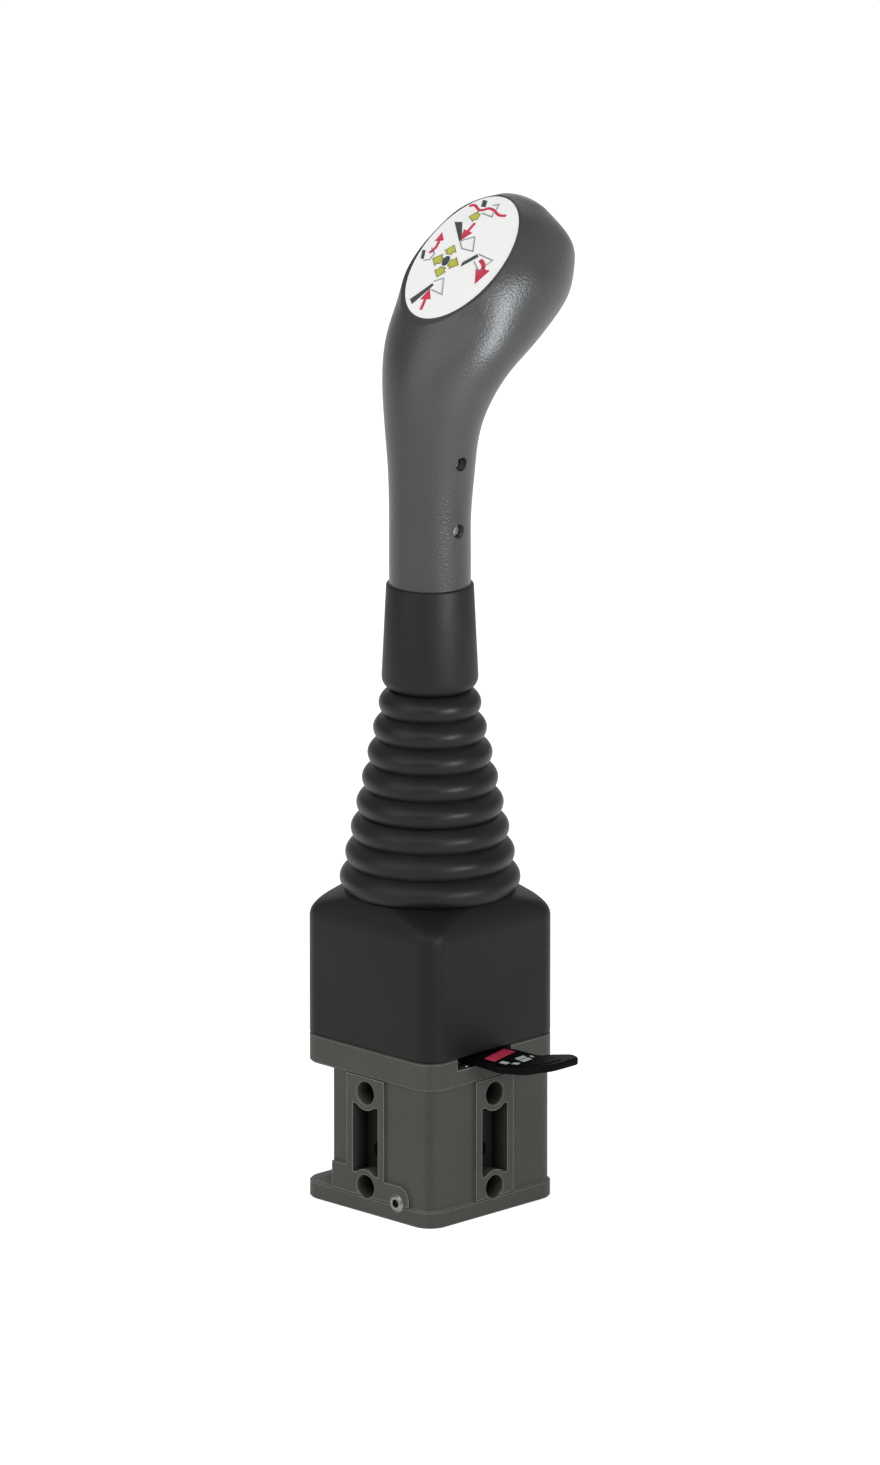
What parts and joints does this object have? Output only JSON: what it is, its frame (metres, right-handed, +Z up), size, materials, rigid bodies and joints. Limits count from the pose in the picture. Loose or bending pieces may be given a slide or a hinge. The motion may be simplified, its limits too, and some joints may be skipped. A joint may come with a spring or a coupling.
{
  "type": "hydraulic pilot joystick valve",
  "caption": "Square hydraulic pilot control block with side mounting holes, rubber bellows boot, tilting lever with a hooked palm grip and a sloping printed oval plate, and a side lock lever.",
  "frame": {"origin": "mouth of the pressure port on the lever axis, at the underside of the block", "axes": "+Z up along the lever, -Y towards the sloping face of the grip, +X towards the lock lever"},
  "size_m": [0.093, 0.0989, 0.3657],
  "materials": {
    "aluminium": "turned",
    "bellows": "satin moulded rubber",
    "block": "painted grey cast block with machined pads",
    "boot_skirt": "matt moulded rubber",
    "bronze": "machined",
    "bush": "machined",
    "collar": "satin moulded rubber",
    "grip": "fine grained moulding",
    "label": "white printed plate",
    "lock_label": "printed film",
    "lock_plate": "black coated sheet",
    "plate_steel": "ground",
    "plated": "zinc plated",
    "seal": "nitrile",
    "spring_wire": "wire",
    "steel": "ground and hardened"
  },
  "bodies": {
    "base": {"valve_body": "block", "gallery_plugs": "plated", "test_port_plug": "plated", "guide_plate": "plate_steel", "guide_plate_screws": "plated", "bush_seals": "seal", "pivot_post": "steel", "fork_bushes": "bronze", "boot_skirt": "boot_skirt", "boot_bellows": "bellows", "detent_ball": "steel", "detent_spring": "spring_wire", "guide_bush_front": "bush", "guide_bush_rear": "bush", "guide_bush_left": "bush", "guide_bush_right": "bush", "return_spring_front": "spring_wire", "return_spring_rear": "spring_wire", "return_spring_left": "spring_wire", "return_spring_right": "spring_wire"},
    "gimbal": {"universal_cross": "steel"},
    "lever": {"yoke_bushes": "bronze", "upper_yoke": "steel", "cam_plate": "plate_steel", "jam_nut": "plated", "lever_rod": "steel", "boot_collar": "collar", "grip_shell": "grip", "grip_insert": "aluminium", "grip_screws": "plated", "label_inlay": "label"},
    "lock_lever": {"lock_plate": "lock_plate", "lock_label": "lock_label", "lock_shaft": "steel", "lock_dog": "plate_steel", "lock_screw": "plated"},
    "plunger_front": {"plunger_front": "steel", "spring_seat_front": "steel"},
    "spool_front": {"spool_front": "steel", "metering_spring_front": "spring_wire"},
    "plunger_rear": {"plunger_rear": "steel", "spring_seat_rear": "steel"},
    "spool_rear": {"spool_rear": "steel", "metering_spring_rear": "spring_wire"},
    "plunger_left": {"plunger_left": "steel", "spring_seat_left": "steel"},
    "spool_left": {"spool_left": "steel", "metering_spring_left": "spring_wire"},
    "plunger_right": {"plunger_right": "steel", "spring_seat_right": "steel"},
    "spool_right": {"spool_right": "steel", "metering_spring_right": "spring_wire"}
  },
  "joints": [
    {"name": "tilt_fore_aft", "type": "hinge", "parent": "base", "child": "gimbal", "pos_m": [0, 0, 0.098], "axis": [1, 0, 0], "range_deg": [-19, 19], "stiffness_Nm_per_rad": 8, "deforming": ["boot_bellows"]},
    {"name": "tilt_left_right", "type": "hinge", "parent": "gimbal", "child": "lever", "pos_m": [0, 0, 0.098], "axis": [0, 1, 0], "range_deg": [-19, 19], "stiffness_Nm_per_rad": 8},
    {"name": "plunger_front_slide", "type": "slide", "parent": "base", "child": "plunger_front", "axis": [0, 0, 1], "range_m": [-0.0059, 0.0059], "deforming": ["return_spring_front"]},
    {"name": "spool_front_slide", "type": "slide", "parent": "base", "child": "spool_front", "axis": [0, 0, 1], "range_m": [-0.0011, 0.0011], "deforming": ["metering_spring_front"]},
    {"name": "plunger_rear_slide", "type": "slide", "parent": "base", "child": "plunger_rear", "axis": [0, 0, 1], "range_m": [-0.0059, 0.0059], "deforming": ["return_spring_rear"]},
    {"name": "spool_rear_slide", "type": "slide", "parent": "base", "child": "spool_rear", "axis": [0, 0, 1], "range_m": [-0.0011, 0.0011], "deforming": ["metering_spring_rear"]},
    {"name": "plunger_left_slide", "type": "slide", "parent": "base", "child": "plunger_left", "axis": [0, 0, 1], "range_m": [-0.0059, 0.0059], "deforming": ["return_spring_left"]},
    {"name": "spool_left_slide", "type": "slide", "parent": "base", "child": "spool_left", "axis": [0, 0, 1], "range_m": [-0.0011, 0.0011], "deforming": ["metering_spring_left"]},
    {"name": "plunger_right_slide", "type": "slide", "parent": "base", "child": "plunger_right", "axis": [0, 0, 1], "range_m": [-0.0059, 0.0059], "deforming": ["return_spring_right"]},
    {"name": "spool_right_slide", "type": "slide", "parent": "base", "child": "spool_right", "axis": [0, 0, 1], "range_m": [-0.0011, 0.0011], "deforming": ["metering_spring_right"]},
    {"name": "lock_lever_turn", "type": "hinge", "parent": "base", "child": "lock_lever", "pos_m": [0.025, -0.01, 0.058], "axis": [0, 0, 1], "range_deg": [-28, 0]}
  ],
  "couplings": [
    {"joint": "plunger_front_slide", "follows": "tilt_fore_aft", "m_per_rad": -0.0166},
    {"joint": "spool_front_slide", "follows": "tilt_fore_aft", "m_per_rad": -0.003},
    {"joint": "plunger_rear_slide", "follows": "tilt_fore_aft", "m_per_rad": 0.0166},
    {"joint": "spool_rear_slide", "follows": "tilt_fore_aft", "m_per_rad": 0.003},
    {"joint": "plunger_left_slide", "follows": "tilt_left_right", "m_per_rad": 0.0171},
    {"joint": "spool_left_slide", "follows": "tilt_left_right", "m_per_rad": 0.003},
    {"joint": "plunger_right_slide", "follows": "tilt_left_right", "m_per_rad": -0.0171},
    {"joint": "spool_right_slide", "follows": "tilt_left_right", "m_per_rad": -0.003}
  ]
}
